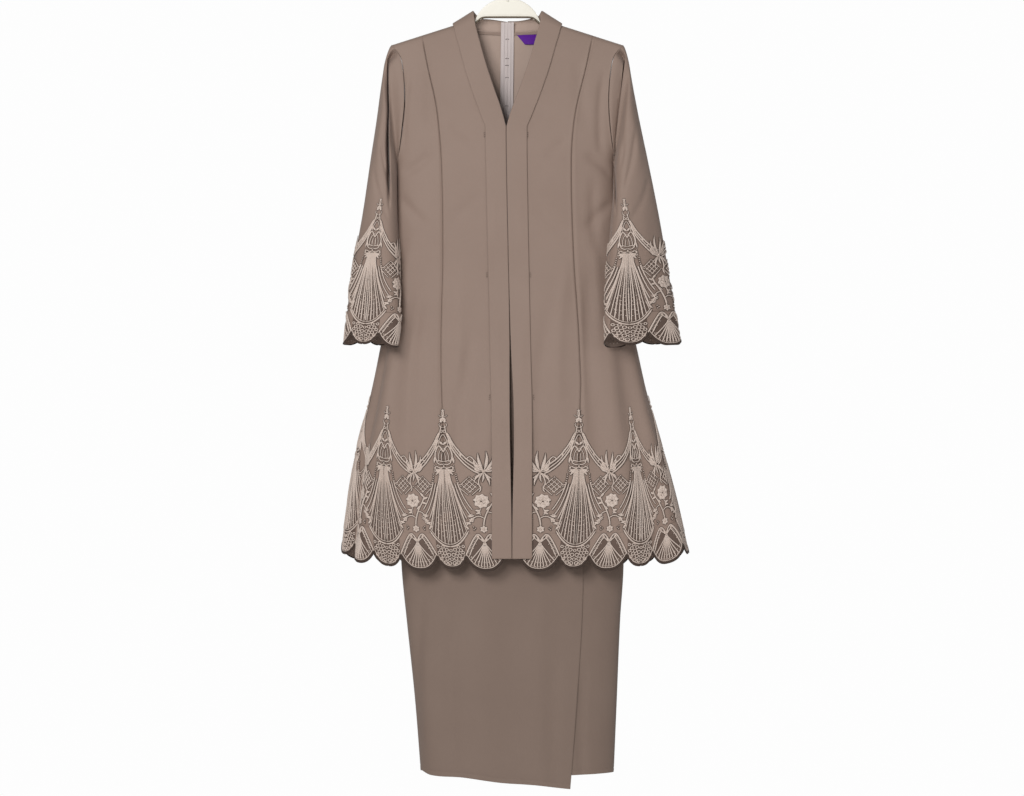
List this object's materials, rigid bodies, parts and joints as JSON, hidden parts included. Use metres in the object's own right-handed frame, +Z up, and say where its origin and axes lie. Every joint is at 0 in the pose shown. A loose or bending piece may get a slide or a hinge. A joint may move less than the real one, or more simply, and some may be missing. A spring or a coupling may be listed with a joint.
{
  "type": "kebaya set on a hanger",
  "caption": "Long tunic kebaya with a V neckband, front bands and scalloped lace hem and cuffs, over a wrap-front skirt, hanging flat on a moulded hanger.",
  "frame": {"origin": "where a rail bears under the top of the hook", "axes": "+Z up, +X to the viewer's right seen from the front, the front faces -Y"},
  "size_m": [0.6261, 0.1797, 1.4976],
  "materials": {
    "crepe": "taupe dull satin crepe with a fine grain and a soft sheen",
    "lace": "corded guipure and net lace, pinkish beige thread",
    "tape": "narrow woven polyester tape",
    "label": "bare woven purple satin label",
    "plastic": "moulded cream plastic, slightly glossy",
    "zip": "enamelled metal, cloth coloured"
  },
  "bodies": {
    "root": {"front_centre_left": "crepe", "front_side_left": "crepe", "back_side_left": "crepe", "back_centre_left": "crepe", "front_band_left": "crepe", "neckband_front_left": "crepe", "neckband_back_left": "crepe", "sleeve_left": "crepe", "front_centre_right": "crepe", "front_side_right": "crepe", "back_side_right": "crepe", "back_centre_right": "crepe", "front_band_right": "crepe", "neckband_front_right": "crepe", "neckband_back_right": "crepe", "sleeve_right": "crepe", "skirt_wrap": "crepe", "skirt_under": "crepe", "skirt_back": "crepe", "skirt_waistband": "crepe", "hem_lace_front_left": "lace", "hem_lace_back_left": "lace", "hem_lace_front_right": "lace", "hem_lace_back_right": "lace", "cuff_lace_left_a": "lace", "cuff_lace_left_b": "lace", "cuff_lace_right_a": "lace", "cuff_lace_right_b": "lace", "zip_tape_left": "tape", "zip_tape_right": "tape", "skirt_loop_left": "tape", "skirt_loop_right": "tape", "neck_label": "label", "hanger": "plastic", "zip_pull": "zip"}
  },
  "joints": []
}
